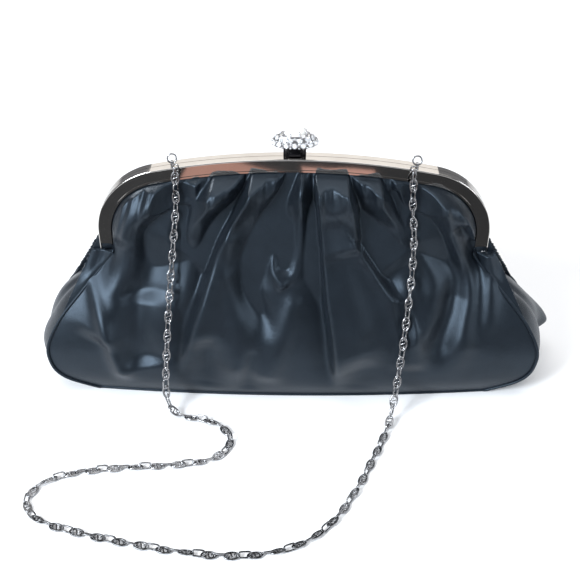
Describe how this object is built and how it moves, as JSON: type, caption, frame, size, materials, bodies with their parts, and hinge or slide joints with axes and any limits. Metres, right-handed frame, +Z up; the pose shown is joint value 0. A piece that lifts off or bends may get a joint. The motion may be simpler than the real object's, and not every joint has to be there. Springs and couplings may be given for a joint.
{
  "type": "evening bag",
  "caption": "Gathered satin frame evening bag that opens at an arched metal frame with a jewelled tilting clasp and a long scroll-link shoulder chain.",
  "frame": {"origin": "under the middle of the bag's body, on the surface it stands on", "axes": "+X along the frame, +Y from front to back, +Z up"},
  "size_m": [0.281, 0.1787, 0.154],
  "materials": {
    "black_nickel": "mirror-polished black nickel plate",
    "satin": "midnight blue-black duchess satin with a fine warp-faced weave",
    "seam_satin": "the same satin cut on the bias around a cord",
    "lining_cloth": "black taffeta lining",
    "wadding": "grey polyester wadding",
    "card": "stiff grey-brown board",
    "paper_cord": "twisted kraft paper cord",
    "black_enamel": "gloss black enamel",
    "spring_steel": "thin spring steel",
    "silver_setting": "rhodium-plated stone setting",
    "crystal": "clear faceted crystal",
    "chain_metal": "antiqued gunmetal plate, bright on the high spots"
  },
  "bodies": {
    "body": {"front_frame": "black_nickel", "hinge_rivet_left": "black_nickel", "hinge_rivet_right": "black_nickel", "front_channel_cord": "paper_cord", "front_panel": "satin", "back_panel_lower": "satin", "gusset_left": "satin", "gusset_right": "satin", "front_padding": "wadding", "back_padding": "wadding", "base_panel": "satin", "base_board": "card", "lining_pouch": "lining_cloth", "lining_front_upper": "lining_cloth", "slip_pocket": "lining_cloth", "front_piping": "seam_satin", "back_piping": "seam_satin", "strike_plate": "black_enamel", "chain_lug_left": "black_nickel", "chain_lug_right": "black_nickel", "end_bail_left": "chain_metal", "end_bail_right": "chain_metal", "chain": "chain_metal"},
    "back_half": {"back_frame": "black_nickel", "back_channel_cord": "paper_cord", "back_panel_upper": "satin", "back_fold": "satin", "lining_back_upper": "lining_cloth", "clasp_bracket": "black_enamel", "clasp_pin": "spring_steel", "clasp_spring": "spring_steel"},
    "clasp": {"clasp_lever": "black_enamel", "clasp_dome": "silver_setting", "clasp_stones": "crystal", "crown_setting": "silver_setting", "crown_crystal": "crystal"},
    "ring_left": {"jump_ring_left": "chain_metal"},
    "ring_right": {"jump_ring_right": "chain_metal"}
  },
  "joints": [
    {"name": "frame_hinge", "type": "hinge", "parent": "body", "child": "back_half", "pos_m": [0, 0, 0.079], "axis": [-1, 0, 0], "range_deg": [0, 60], "deforming": ["back_fold"]},
    {"name": "clasp_tilt", "type": "hinge", "parent": "back_half", "child": "clasp", "pos_m": [0, 0.00228, 0.1404], "axis": [-1, 0, 0], "range_deg": [0, 12], "stiffness_Nm_per_rad": 0.02, "springref_deg": -5.73, "deforming": ["clasp_spring"]},
    {"name": "ring_left_swing", "type": "hinge", "parent": "body", "child": "ring_left", "pos_m": [-0.0624, -0.00228, 0.13398], "axis": [-1, 0, 0], "range_deg": [-20, 20]},
    {"name": "ring_right_swing", "type": "hinge", "parent": "body", "child": "ring_right", "pos_m": [0.0624, -0.00228, 0.13398], "axis": [-1, 0, 0], "range_deg": [-20, 20]}
  ]
}
